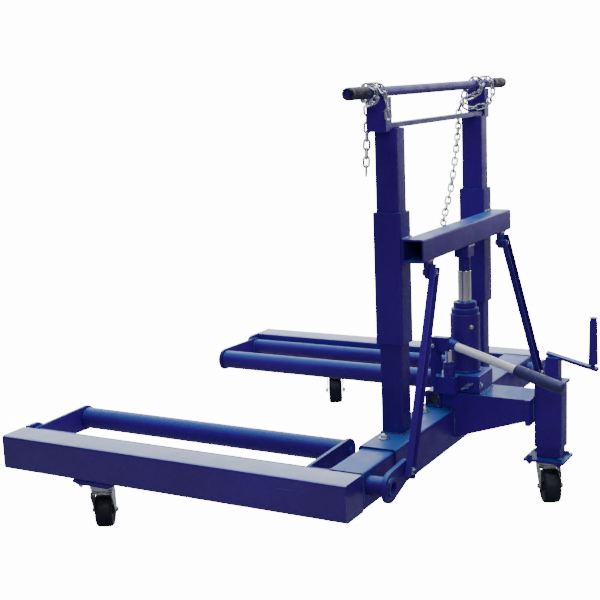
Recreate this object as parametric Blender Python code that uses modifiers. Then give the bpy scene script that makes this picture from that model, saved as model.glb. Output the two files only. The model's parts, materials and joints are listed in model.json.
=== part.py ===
"""Hydraulic wheel dolly for truck wheels: roller forks, lifting mast, bottle jack and cranked rear leg.

Frame: +Z up, floor at z = 0, forks point to -Y, left is +X. Design coordinates have y = 0 at the
chassis' rear face; the assembly empty shifts them so that the bounding box is centred on the origin.
"""

import math

import bmesh
import bpy
from mathutils import Matrix, Vector

# Driving dimensions, in metres
FORK_TUBE = 0.100
FORK_WALL = 0.006
FORK_OUTER_X = 0.766
FORK_LENGTH = 1.116
FORK_BOTTOM_Z = 0.155
BOX_SIZE = 0.112
BOX_WALL = 0.0055
BOX_HALF_LENGTH = 0.478
CROSS_TUBE_INNER_X = 0.340
GAP = 0.0003

SHAFT_X, SHAFT_Z = 0.632, 0.215
SHAFT_RADIUS = 0.025
SHAFT_REAR_Y = 0.068
ROLLER_X, ROLLER_Z = 0.407, 0.213
ROLLER_RADIUS = 0.0325
AXLE_RADIUS = 0.010
ARM_THICKNESS = 0.010
REAR_ARM_Y = -0.173
BRACKET_THICKNESS = 0.012
LEVER_LENGTH = 0.097
LEVER_ANGLE = math.radians(10)
LEVER_Y, LEVER_THICKNESS = 0.056, 0.012
PIN_RADIUS = 0.008

POST_OUTER_X = 0.346
POST_SIZE = (0.060, 0.066)
POST_TOP_Z = 1.100
MAST_Y = -0.065
SLEEVE_SIZE = (0.076, 0.082)
SLEEVE_WALL = 0.007
SLEEVE_BOTTOM_Z, SLEEVE_TOP_Z = 0.515, 0.876
BEAM_SIZE = 0.064
BEAM_HALF_LENGTH = 0.348
BEAM_BOTTOM_Z = 0.742
UPRIGHT_TOP_Z = 1.183
PUSH_BAR_Y, PUSH_BAR_Z = -0.062, 1.197
PUSH_BAR_RADIUS = 0.0135
PUSH_BAR_HALF_LENGTH = 0.563
PUSH_GRIP_LENGTH = 0.103
PUSH_GRIP_RADIUS = 0.0165

LINK_TOP = Vector((0.288, 0.0385, 0.709))
LINK_BOTTOM_Y = 0.0665
LINK_WIDTH, LINK_DEPTH, LINK_WALL = 0.034, 0.015, 0.004

JACK_Y = 0.0185
JACK_BASE_BOTTOM_Z, JACK_BASE_TOP_Z = 0.3115, 0.3662
RAM_RADIUS = 0.0195
PUMP_X = 0.080
PUMP_PIVOT_Y, PUMP_PIVOT_Z = -0.042, 0.458
PUMP_PISTON_Y = -0.002
PUMP_HANDLE_START = Vector((0.080, 0.007, 0.461))
PUMP_HANDLE_END = Vector((0.1803, 0.3693, 0.3867))  # angled outboard, clear of the crank's circle
PUMP_HANDLE_LENGTH = 0.2299
VALVE_Y, VALVE_Z = 0.052, 0.338

LEG_Y = 0.278
LEG_SIZE = (0.064, 0.081)
LEG_WALL = 0.005
LEG_BOTTOM_Z, LEG_TOP_Z = 0.165, 0.3605
SCREW_Y = 0.286
CRANK_RADIUS = 0.114
CRANK_GRIP_RADIUS = 0.0135

WHEEL_RADIUS = 0.050
WHEEL_WIDTH = 0.050
CASTER_TRAIL = 0.026
CASTER_YAW = math.radians(29.4)
FRONT_CASTER = {"y": -0.800, "top": 0.1462, "race_bottom": 0.117}
REAR_CASTER = {"y": 0.270, "top": 0.1237, "race_bottom": 0.1065}

CHAIN_TUBE_RADIUS = 0.005
SIDES = {"left": 1, "right": -1}

BODY_ORIGINS = {}
PARTS = bpy.data.collections.new("wheel_dolly")
CUTTERS = bpy.data.collections.new("cutters")


def clear_scene():
    for obj in list(bpy.data.objects):
        bpy.data.objects.remove(obj, do_unlink=True)
    for collection in (PARTS, CUTTERS):
        bpy.context.scene.collection.children.link(collection)
    CUTTERS.hide_render = True


def material(name, colour, roughness, metallic):
    made = bpy.data.materials.new(name)
    made.use_nodes = True
    shader = made.node_tree.nodes["Principled BSDF"]
    shader.inputs["Base Color"].default_value = (*colour, 1)
    shader.inputs["Roughness"].default_value = roughness
    shader.inputs["Metallic"].default_value = metallic
    made.diffuse_color = (*colour, 1)
    return made


clear_scene()
BLUE = material("blue_paint", (0.012, 0.010, 0.32), 0.3, 0.0)
STEEL = material("zinc_steel", (0.62, 0.62, 0.60), 0.35, 1.0)
CHROME = material("chrome", (0.75, 0.75, 0.76), 0.12, 1.0)
WHITE = material("white_enamel", (0.85, 0.85, 0.85), 0.35, 0.0)
RUBBER = material("black_rubber", (0.02, 0.02, 0.025), 0.7, 0.0)
TYRE = material("wheel_polymer", (0.015, 0.015, 0.025), 0.55, 0.0)


# Bodies: an empty on each joint axis, given in design coordinates


def body(name, origin, parent=None):
    empty = bpy.data.objects.new("body_" + name, None)
    PARTS.objects.link(empty)
    above = BODY_ORIGINS.get(parent, (None, Vector((0, 0, 0))))
    empty.parent = above[0]
    empty.location = Vector(origin) - above[1]
    BODY_ORIGINS[name] = (empty, Vector(origin))


def attach(obj, body_name):
    """Parents an object, now placed in design coordinates, to its body's empty."""
    empty, origin = BODY_ORIGINS[body_name]
    obj.parent = empty
    obj.location = obj.location - origin
    return obj


# Shape helpers


def finish(obj, name, paint, body_name, collection=PARTS):
    obj.name = name
    obj.data.name = name
    for owner in list(obj.users_collection):
        owner.objects.unlink(obj)
    collection.objects.link(obj)
    if paint:
        obj.data.materials.clear()
        obj.data.materials.append(paint)
    if collection is CUTTERS:
        obj.hide_render = True
        obj.display_type = "WIRE"
    return attach(obj, body_name)


def arc(centre, radius, start, stop, steps):
    """Points of an arc, angles in degrees."""
    turns = [math.radians(start + (stop - start) * i / steps) for i in range(steps + 1)]
    return [(centre[0] + radius * math.cos(a), centre[1] + radius * math.sin(a)) for a in turns]


def rounded_rectangle(width, height, radius, steps=2):
    """Outline centred on the origin, anticlockwise."""
    x, y = width / 2 - radius, height / 2 - radius
    corners = [((x, y), 0), ((-x, y), 90), ((-x, -y), 180), ((x, -y), 270)]
    return [p for centre, start in corners for p in arc(centre, radius, start, start + 90, steps)]


def circle(centre, radius, steps=20):
    """A hole's outline, whose flats lie at the radius."""
    return arc(centre, radius / math.cos(math.pi / steps), 0, 360, steps)[:-1]


def capsule(first, first_radius, second, second_radius, steps=8):
    """Outline round two circles of unlike radius, with straight tangents between them."""
    a, b = Vector(first), Vector(second)
    along = math.degrees(math.atan2(b.y - a.y, b.x - a.x))
    spread = math.degrees(math.acos((first_radius - second_radius) / (b - a).length))
    ends = arc(second, second_radius, along - spread, along + spread, steps)
    return ends + arc(first, first_radius, along + spread, along + 360 - spread, steps)


AXIS_ROTATION = {
    "X": (math.pi / 2, 0, math.pi / 2),
    "Y": (math.pi / 2, 0, 0),
    "Z": (0, 0, 0),
}


def outline_curve(outlines, depth):
    curve = bpy.data.curves.new("outline", "CURVE")
    curve.dimensions = "2D"
    curve.fill_mode = "BOTH"
    curve.extrude = depth / 2
    for outline in outlines:
        spline = curve.splines.new("POLY")
        spline.points.add(len(outline) - 1)
        for point, (x, y) in zip(spline.points, outline):
            point.co = (x, y, 0, 1)
        spline.use_cyclic_u = True
    return bpy.data.objects.new("outline", curve)


def extruded(name, paint, body_name, outlines, depth, along, centre, collection=PARTS):
    """A prism of the outlines, the first outside and the rest holes. Along X they hold (y, z),
    along Y (x, z) and along Z (x, y), all relative to the centre. The result is a mesh."""
    curve_object = outline_curve(outlines, depth)
    bpy.context.scene.collection.objects.link(curve_object)
    graph = bpy.context.evaluated_depsgraph_get()
    mesh = bpy.data.meshes.new_from_object(curve_object.evaluated_get(graph))
    bpy.data.objects.remove(curve_object)
    shape = bmesh.new()
    shape.from_mesh(mesh)
    bmesh.ops.remove_doubles(shape, verts=shape.verts, dist=0.00001)
    bmesh.ops.recalc_face_normals(shape, faces=shape.faces)
    shape.to_mesh(mesh)
    shape.free()
    obj = bpy.data.objects.new(name, mesh)
    bpy.context.scene.collection.objects.link(obj)
    obj.rotation_euler = AXIS_ROTATION[along]
    obj.location = centre
    return finish(obj, name, paint, body_name, collection)


def tube(name, paint, body_name, size, wall, depth, along, centre, corner=0.008):
    width, height = size
    outer = rounded_rectangle(width, height, corner)
    inner = rounded_rectangle(width - 2 * wall, height - 2 * wall, max(corner - wall, 0.002))
    return extruded(name, paint, body_name, [outer, inner], depth, along, centre)


def box(name, paint, body_name, low, high, bevel=0.0, collection=PARTS):
    bpy.ops.mesh.primitive_cube_add(size=1)
    obj = bpy.context.object
    low, high = Vector(low), Vector(high)
    obj.data.transform(Matrix.Diagonal((*(high - low), 1)))
    obj.location = (low + high) / 2
    if bevel:
        rounding = obj.modifiers.new("bevel", "BEVEL")
        rounding.width = bevel
        rounding.segments = 2
    return finish(obj, name, paint, body_name, collection)


CYLINDER_ROTATION = {"X": (0, math.pi / 2, 0), "Y": (-math.pi / 2, 0, 0), "Z": (0, 0, 0)}


def rod(name, paint, body_name, radius, start, stop, along, through, segments=24, collection=PARTS):
    """A cylinder from start to stop along an axis; through gives the other two coordinates."""
    bpy.ops.mesh.primitive_cylinder_add(vertices=segments, radius=radius, depth=stop - start)
    obj = bpy.context.object
    centre = list(through)
    centre.insert("XYZ".index(along), (start + stop) / 2)
    obj.location = centre
    obj.rotation_euler = CYLINDER_ROTATION[along]
    return finish(obj, name, paint, body_name, collection)


def turned(name, paint, body_name, profile, along, origin, steps=32):
    """A turned solid. The profile holds (radius, height) and runs down its outer side."""
    mesh = bpy.data.meshes.new(name)
    points = [(radius, 0, height) for radius, height in profile]
    mesh.from_pydata(points, [(i, i + 1) for i in range(len(points) - 1)], [])
    obj = bpy.data.objects.new(name, mesh)
    bpy.context.scene.collection.objects.link(obj)
    screw = obj.modifiers.new("screw", "SCREW")
    screw.steps = screw.render_steps = steps
    screw.use_merge_vertices = True
    screw.merge_threshold = 0.0001
    obj.location = origin
    obj.rotation_euler = CYLINDER_ROTATION[along]
    return finish(obj, name, paint, body_name)


def boolean(obj, other, operation):
    step = obj.modifiers.new(operation.lower(), "BOOLEAN")
    step.operation = operation
    step.object = other
    step.solver = "EXACT"
    return obj


def cut_rod(obj, body_name, radius, start, stop, along, through, segments=24):
    cutter = rod(obj.name + "_cutter", None, body_name, radius / math.cos(math.pi / segments),
                 start, stop, along, through, segments, CUTTERS)
    return boolean(obj, cutter, "DIFFERENCE")


def cut_box(obj, body_name, low, high):
    cutter = box(obj.name + "_cutter", None, body_name, low, high, 0, CUTTERS)
    return boolean(obj, cutter, "DIFFERENCE")


def join_rod(obj, body_name, radius, start, stop, along, through, segments=24):
    added = rod(obj.name + "_added", None, body_name, radius, start, stop, along, through,
                segments, CUTTERS)
    return boolean(obj, added, "UNION")


def join_box(obj, body_name, low, high):
    added = box(obj.name + "_added", None, body_name, low, high, 0, CUTTERS)
    return boolean(obj, added, "UNION")


def span(centre_x, low_x, high_x):
    """Low and high x for a side, where the side's sign may swap them."""
    return min(centre_x * low_x, centre_x * high_x), max(centre_x * low_x, centre_x * high_x)


# Chassis


def build_forks():
    fork_centre_x = FORK_OUTER_X - FORK_TUBE / 2
    fork_centre_z = FORK_BOTTOM_Z + FORK_TUBE / 2
    fork_inner_x = FORK_OUTER_X - FORK_TUBE - GAP
    bore = FORK_TUBE - 2 * FORK_WALL
    for side, sign in SIDES.items():
        fork = extruded(f"fork_tube_{side}", BLUE, "root",
                        [rounded_rectangle(FORK_TUBE, FORK_TUBE, 0.008)], FORK_LENGTH, "Y",
                        (sign * fork_centre_x, -FORK_LENGTH / 2, fork_centre_z))
        cut_box(fork, "root",
                (sign * fork_centre_x - bore / 2, -FORK_LENGTH - 0.01, fork_centre_z - bore / 2),
                (sign * fork_centre_x + bore / 2, -FORK_WALL, fork_centre_z + bore / 2))
        length = fork_inner_x - CROSS_TUBE_INNER_X
        centre_x = sign * (fork_inner_x + CROSS_TUBE_INNER_X) / 2
        cross = tube(f"cross_tube_{side}", BLUE, "root", (FORK_TUBE, FORK_TUBE), FORK_WALL, length,
                     "X", (centre_x, -FORK_TUBE / 2, fork_centre_z))
        cut_rod(cross, "root", SHAFT_RADIUS + 0.0006, -0.15, 0.05, "Y", (sign * SHAFT_X, SHAFT_Z))
        build_tip_bracket(side, sign, fork_inner_x)
        box(f"caster_plate_{side}", BLUE, "root",
            (sign * fork_centre_x - 0.050, FRONT_CASTER["y"] - 0.064, FRONT_CASTER["top"] + GAP),
            (sign * fork_centre_x + 0.050, FRONT_CASTER["y"] + 0.064, FORK_BOTTOM_Z - GAP))
    tube("centre_box", BLUE, "root", (BOX_SIZE, BOX_SIZE), BOX_WALL, 2 * BOX_HALF_LENGTH, "X",
         (0, -FORK_TUBE / 2, fork_centre_z))


def build_tip_bracket(side, sign, fork_inner_x):
    """Plate at the fork tip that holds the front end of the pivot shaft."""
    inboard_x, corner = fork_inner_x - 0.072, 0.030
    top_z = FORK_BOTTOM_Z + FORK_TUBE + 0.001
    shape = [(fork_inner_x, FORK_BOTTOM_Z), (fork_inner_x, top_z)]
    shape += arc((inboard_x + corner, top_z - corner), corner, 90, 180, 5)
    shape += [(inboard_x, FORK_BOTTOM_Z + 0.012), (inboard_x + 0.012, FORK_BOTTOM_Z)]
    outline = [(sign * (x - SHAFT_X), z - SHAFT_Z) for x, z in shape]
    extruded(f"tip_bracket_{side}", BLUE, "root", [outline, circle((0, 0), 0.0153, 16)],
             BRACKET_THICKNESS, "Y",
             (sign * SHAFT_X, -FORK_LENGTH + BRACKET_THICKNESS / 2, SHAFT_Z))


def build_mast():
    post_x = POST_OUTER_X - POST_SIZE[0] / 2
    foot_z = FORK_BOTTOM_Z + FORK_TUBE / 2 + BOX_SIZE / 2 + GAP
    for side, sign in SIDES.items():
        tube(f"mast_post_{side}", BLUE, "root", POST_SIZE, 0.005, POST_TOP_Z - foot_z,
             "Z", (sign * post_x, MAST_Y, (POST_TOP_Z + foot_z) / 2), 0.006)
        low, high = span(sign, POST_OUTER_X + 2 * GAP, POST_OUTER_X + 0.0406)
        box(f"bar_upright_{side}", BLUE, "root", (low, -0.099, POST_TOP_Z - 0.007),
            (high, -0.042, UPRIGHT_TOP_Z), 0.002)
        inner = PUSH_BAR_HALF_LENGTH - PUSH_GRIP_LENGTH
        grip = rod(f"push_bar_grip_{side}", RUBBER, "root", PUSH_GRIP_RADIUS,
                   *span(sign, inner, PUSH_BAR_HALF_LENGTH + 0.004), "X", (PUSH_BAR_Y, PUSH_BAR_Z))
        cut_rod(grip, "root", PUSH_BAR_RADIUS + GAP, *span(sign, inner - 0.01,
                PUSH_BAR_HALF_LENGTH + GAP), "X", (PUSH_BAR_Y, PUSH_BAR_Z))
    rod("push_bar", BLUE, "root", PUSH_BAR_RADIUS, -PUSH_BAR_HALF_LENGTH, PUSH_BAR_HALF_LENGTH, "X",
        (PUSH_BAR_Y, PUSH_BAR_Z))
    box("tie_bar", BLUE, "root", (-0.3415, -0.077, POST_TOP_Z + GAP),
        (0.3415, -0.047, POST_TOP_Z + 0.0135))


def build_rear_frame():
    """Platform under the jack, the folded rear arm with its end flange, and the outer leg tube."""
    box_top_z = FORK_BOTTOM_Z + FORK_TUBE / 2 + BOX_SIZE / 2
    box_rear_y = BOX_SIZE / 2 - FORK_TUBE / 2
    arm_top_z = JACK_BASE_BOTTOM_Z - GAP
    height = arm_top_z - box_top_z - GAP
    tube("jack_platform", BLUE, "root", (0.050, height), 0.005, 0.136, "X",
         (0, -0.0595, box_top_z + GAP + height / 2), 0.006)
    arm_rear_y, half_width, sheet = 0.224, 0.065, 0.006
    nose_y, low_front_z, low_rear_z = -0.0335, 0.176, 0.247
    shape = [(nose_y, box_top_z + GAP), (box_rear_y + GAP, box_top_z + GAP),
             (box_rear_y + GAP, low_front_z), (arm_rear_y, low_rear_z), (arm_rear_y, arm_top_z),
             (nose_y, arm_top_z)]
    arm = extruded("rear_arm", BLUE, "root", [shape], 2 * half_width, "X", (0, 0, 0))
    hollow = [(box_rear_y + GAP + sheet, low_front_z - 0.03), (arm_rear_y - sheet, low_rear_z - 0.03),
              (arm_rear_y - sheet, arm_top_z - sheet), (box_rear_y + GAP + sheet, arm_top_z - sheet)]
    cutter = extruded("rear_arm_cutter", None, "root", [hollow], 2 * (half_width - sheet), "X",
                      (0, 0, 0), CUTTERS)
    boolean(arm, cutter, "DIFFERENCE")
    join_box(arm, "root", (-0.070, arm_rear_y - 0.001, 0.236),
             (0.070, LEG_Y - LEG_SIZE[1] / 2 - GAP, arm_top_z))
    leg = tube("rear_leg_tube", BLUE, "root", LEG_SIZE, LEG_WALL, LEG_TOP_Z - 0.004 - LEG_BOTTOM_Z,
               "Z", (0, LEG_Y, (LEG_TOP_Z - 0.004 + LEG_BOTTOM_Z) / 2), 0.006)
    join_box(leg, "root", (-0.036, LEG_Y - 0.046, LEG_TOP_Z - 0.008),
             (0.036, LEG_Y + 0.046, LEG_TOP_Z))
    cut_rod(leg, "root", 0.0125, LEG_TOP_Z - 0.02, LEG_TOP_Z + 0.01, "Z", (0, SCREW_Y))


def build_jack():
    base = box("jack_base", BLUE, "root", (-0.060, JACK_Y - 0.064, JACK_BASE_BOTTOM_Z),
               (0.060, JACK_Y + 0.064, JACK_BASE_TOP_Z), 0.006)
    join_box(base, "root", (0.030, -0.046, JACK_BASE_BOTTOM_Z + 0.004),
             (0.098, 0.022, JACK_BASE_TOP_Z - 0.001))
    cut_rod(base, "root", AXLE_RADIUS + 0.0004, 0.322, 0.40, "Z", (PUMP_X, PUMP_PISTON_Y))
    top, shoulder, collar = 0.576, 0.540, 0.556
    profile = [(0, 0.385), (RAM_RADIUS + GAP, 0.385), (RAM_RADIUS + GAP, top), (0.0345, top),
               (0.0345, collar), (0.041, collar), (0.041, shoulder), (0.044, shoulder - 0.003),
               (0.044, JACK_BASE_TOP_Z + GAP), (0, JACK_BASE_TOP_Z + GAP)]
    turned("jack_cylinder", BLUE, "root", profile, "Z", (0, JACK_Y, 0))
    plate = [(y - PUMP_PIVOT_Y, z - PUMP_PIVOT_Z) for y, z in
             capsule((PUMP_PIVOT_Y, 0.345), 0.0082, (PUMP_PIVOT_Y, PUMP_PIVOT_Z), 0.008)]
    extruded("pump_fulcrum_link", BLUE, "root", [plate, circle((0, 0), 0.0053, 12)], 0.005, "X",
             (PUMP_X + 0.021, PUMP_PIVOT_Y, PUMP_PIVOT_Z))


# Lifting carriage


def build_carriage():
    post_x = POST_OUTER_X - POST_SIZE[0] / 2
    beam_front_y = MAST_Y + SLEEVE_SIZE[1] / 2 + GAP
    beam_y = beam_front_y + BEAM_SIZE / 2
    for side, sign in SIDES.items():
        tube(f"sleeve_{side}", BLUE, "carriage", SLEEVE_SIZE, SLEEVE_WALL,
             SLEEVE_TOP_Z - SLEEVE_BOTTOM_Z, "Z",
             (sign * post_x, MAST_Y, (SLEEVE_TOP_Z + SLEEVE_BOTTOM_Z) / 2), 0.008)
        top = BEAM_BOTTOM_Z - GAP - LINK_TOP.z
        lug = arc((0, 0), 0.019, 180, 360, 8) + [(0.024, top), (-0.024, top)]
        lug_y = LINK_TOP.y - LINK_WALL / 2 - 0.0025 - 0.006
        clevis = extruded(f"link_clevis_{side}", BLUE, "carriage", [lug], 0.012, "Y",
                          (sign * LINK_TOP.x, lug_y, LINK_TOP.z))
        join_rod(clevis, "carriage", PIN_RADIUS, lug_y, LINK_TOP.y + 0.014, "Y",
                 (sign * LINK_TOP.x, LINK_TOP.z), 16)
    beam = tube("cross_beam", BLUE, "carriage", (BEAM_SIZE, BEAM_SIZE), 0.005,
                2 * BEAM_HALF_LENGTH, "X", (0, beam_y, BEAM_BOTTOM_Z + BEAM_SIZE / 2), 0.006)
    join_box(beam, "carriage", (0.008, beam_front_y - 0.007, 0.779),
             (0.036, beam_front_y + 0.002, 0.799))
    head_top = BEAM_BOTTOM_Z - 0.034
    box("jack_saddle", BLUE, "carriage", (-0.025, JACK_Y - 0.0215, head_top),
        (0.025, JACK_Y + 0.0215, BEAM_BOTTOM_Z - GAP), 0.002)
    profile = [(0, head_top - GAP), (0.018, head_top - GAP), (0.018, 0.670), (RAM_RADIUS, 0.668),
               (RAM_RADIUS, 0.445), (0, 0.445)]
    turned("jack_ram", CHROME, "carriage", profile, "Z", (0, JACK_Y, 0))


# Rockers with their rollers, and the links


def build_rocker(side, sign):
    body_name = f"rocker_{side}"
    shaft_front = -FORK_LENGTH + BRACKET_THICKNESS + 0.0005
    bore_radius, bore_end = 0.016, shaft_front + 0.030
    profile = [(0, bore_end), (bore_radius, bore_end),
               (bore_radius, SHAFT_REAR_Y), (SHAFT_RADIUS, SHAFT_REAR_Y),
               (SHAFT_RADIUS, shaft_front), (0.015, shaft_front), (0.015, -FORK_LENGTH),
               (0, -FORK_LENGTH)]
    turned(f"pivot_shaft_{side}", BLUE, body_name, profile, "Y", (sign * SHAFT_X, 0, SHAFT_Z))
    reach = (sign * (ROLLER_X - SHAFT_X), ROLLER_Z - SHAFT_Z)
    arm = [capsule((0, 0), 0.031, reach, 0.038), circle((0, 0), SHAFT_RADIUS + GAP),
           circle(reach, AXLE_RADIUS + GAP, 16)]
    front_y = shaft_front + GAP + ARM_THICKNESS / 2
    for place, y in (("front", front_y), ("rear", REAR_ARM_Y)):
        extruded(f"{place}_arm_{side}", BLUE, body_name, arm, ARM_THICKNESS, "Y",
                 (sign * SHAFT_X, y, SHAFT_Z))
    pin = lever_pin(sign)
    tip = (pin.x - sign * SHAFT_X, pin.z - SHAFT_Z)
    lever = extruded(f"lever_{side}", BLUE, body_name,
                     [capsule((0, 0), 0.040, tip, 0.029), circle((0, 0), SHAFT_RADIUS + GAP)],
                     LEVER_THICKNESS, "Y", (sign * SHAFT_X, LEVER_Y, SHAFT_Z))
    join_rod(lever, body_name, PIN_RADIUS, LEVER_Y, 0.090, "Y", (pin.x, pin.z), 16)
    front, rear = shaft_front, REAR_ARM_Y + ARM_THICKNESS / 2 + 0.002
    rod(f"roller_axle_{side}", STEEL, body_name, AXLE_RADIUS, front, rear, "Y",
        (sign * ROLLER_X, ROLLER_Z), 16)
    roller_front = front_y + ARM_THICKNESS / 2 + 0.003
    roller_rear = REAR_ARM_Y - ARM_THICKNESS / 2 - 0.003
    bore, inside, plate_front = AXLE_RADIUS + 0.0005, ROLLER_RADIUS - 0.0055, roller_rear - 0.010
    profile = [(bore, plate_front), (bore, roller_rear), (ROLLER_RADIUS, roller_rear),
               (ROLLER_RADIUS, roller_front), (inside, roller_front), (inside, plate_front),
               (bore, plate_front)]
    turned(f"roller_{side}", BLUE, f"roller_{side}", profile, "Y",
           (sign * ROLLER_X, 0, ROLLER_Z))


def lever_pin(sign):
    return Vector((sign * (SHAFT_X - LEVER_LENGTH * math.cos(LEVER_ANGLE)), LINK_BOTTOM_Y,
                   SHAFT_Z + LEVER_LENGTH * math.sin(LEVER_ANGLE)))


def build_link(side, sign):
    """Channel link from the beam's clevis down to the lever, its open side to the rear."""
    body_name = f"link_{side}"
    top = Vector((sign * LINK_TOP.x, LINK_TOP.y, LINK_TOP.z))
    bottom = lever_pin(sign)
    along = (top - bottom).normalized()
    across = Vector((0, 1, 0)).cross(along).normalized()
    out = along.cross(across)
    half, wall = LINK_WIDTH / 2, LINK_WALL
    channel = [(-half, -wall / 2), (half, -wall / 2), (half, LINK_DEPTH), (half - wall, LINK_DEPTH),
               (half - wall, wall / 2), (wall - half, wall / 2), (wall - half, LINK_DEPTH),
               (-half, LINK_DEPTH)]
    length = (top - bottom).length + 0.038
    link = extruded(f"lift_link_{side}", BLUE, body_name, [channel], length, "Z",
                    (top + bottom) / 2)
    rotation = Matrix((across, out, along)).transposed()
    link.rotation_euler = rotation.to_euler()
    cut_rod(link, body_name, PIN_RADIUS + 0.0005, top.y - 0.02, top.y + 0.03, "Y", (top.x, top.z), 16)
    cut_rod(link, body_name, PIN_RADIUS + 0.0055, bottom.y - 0.02, bottom.y + 0.03, "Y",
            (bottom.x, bottom.z), 20)


# Pump, leg and crank


def build_pump():
    lever = box("pump_lever", BLUE, "pump_lever", (PUMP_X - 0.013, -0.052, 0.442),
                (PUMP_X + 0.013, 0.002, 0.482), 0.002)
    join_rod(lever, "pump_lever", 0.005, PUMP_X, PUMP_X + 0.0255, "X", (PUMP_PIVOT_Y, PUMP_PIVOT_Z), 12)
    start, along = PUMP_HANDLE_START, PUMP_HANDLE_END - PUMP_HANDLE_START
    total = along.length
    along.normalize()
    lengths = {"pump_handle": (0.0, PUMP_HANDLE_LENGTH, 0.0125, WHITE),
               "pump_handle_grip": (PUMP_HANDLE_LENGTH + GAP, total, 0.0175, RUBBER)}
    for name, (near, far, radius, paint) in lengths.items():
        middle = start + along * (near + far) / 2
        half = (far - near) / 2
        piece = rod(name, paint, "pump_lever", radius, middle.y - half, middle.y + half, "Y",
                    (middle.x, middle.z))
        piece.rotation_euler = along.to_track_quat("Z", "X").to_euler()
    rod("pump_piston", CHROME, "pump_piston", AXLE_RADIUS, 0.3225, 0.4412, "Z",
        (PUMP_X, PUMP_PISTON_Y), 20)
    valve = rod("release_valve", STEEL, "release_valve", 0.007, 0.0605, 0.0785, "X",
                (VALVE_Y, VALVE_Z), 16)
    bar = capsule((-0.0156, -0.009), 0.0031, (0.0156, 0.009), 0.003, 6)
    handle = extruded("release_bar", None, "release_valve", [bar], 0.007, "X",
                      (0.0765, VALVE_Y, VALVE_Z), CUTTERS)
    boolean(valve, handle, "UNION")


def build_leg():
    inner_size = (LEG_SIZE[0] - 2 * LEG_WALL - 0.001, LEG_SIZE[1] - 2 * LEG_WALL - 0.001)
    plate_bottom = REAR_CASTER["top"] + GAP
    plate_top, tube_top = plate_bottom + 0.008, 0.332
    leg = tube("inner_leg_tube", BLUE, "leg", inner_size, 0.005, tube_top - plate_top + 0.004, "Z",
               (0, LEG_Y, (tube_top + plate_top - 0.004) / 2), 0.004)
    centre_y = REAR_CASTER["y"]
    join_box(leg, "leg", (-0.050, centre_y - 0.059, plate_bottom), (0.050, centre_y + 0.059, plate_top))
    half_x, half_y = inner_size[0] / 2 - 0.002, inner_size[1] / 2 - 0.002
    join_box(leg, "leg", (-half_x, LEG_Y - half_y, tube_top - 0.010),
             (half_x, LEG_Y + half_y, tube_top - 0.001))
    cut_rod(leg, "leg", 0.0108, tube_top - 0.03, tube_top + 0.01, "Z", (0, SCREW_Y))


def build_crank():
    hub_half, hub_top = 0.0195, 0.430
    crank = box("lift_screw_and_crank", BLUE, "crank", (-hub_half, SCREW_Y - hub_half, LEG_TOP_Z + GAP),
                (hub_half, SCREW_Y + hub_half, hub_top), 0.002)
    join_rod(crank, "crank", AXLE_RADIUS, 0.190, hub_top - 0.03, "Z", (0, SCREW_Y), 16)
    end_y = SCREW_Y + CRANK_RADIUS
    shape = [(SCREW_Y - 0.0195, 0.434), (end_y + 0.013, 0.398), (end_y + 0.013, 0.4065),
             (SCREW_Y - 0.0195, 0.4425)]
    arm = extruded("crank_arm_shape", None, "crank", [shape], 0.025, "X", (0, 0, 0), CUTTERS)
    boolean(crank, arm, "UNION")
    join_rod(crank, "crank", 0.006, 0.402, 0.548, "Z", (0, end_y), 12)
    join_rod(crank, "crank", 0.0095, 0.5422, 0.550, "Z", (0, end_y), 16)
    profile = [(0.0063, 0.416), (0.0063, 0.5415), (CRANK_GRIP_RADIUS, 0.5415),
               (CRANK_GRIP_RADIUS, 0.416), (0.0063, 0.416)]
    turned("crank_grip", BLUE, "crank_grip", profile, "Z", (0, end_y, 0), 20)


# Casters


def trail_of(yaw):
    return Vector((math.cos(yaw), math.sin(yaw), 0)) * CASTER_TRAIL


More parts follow.
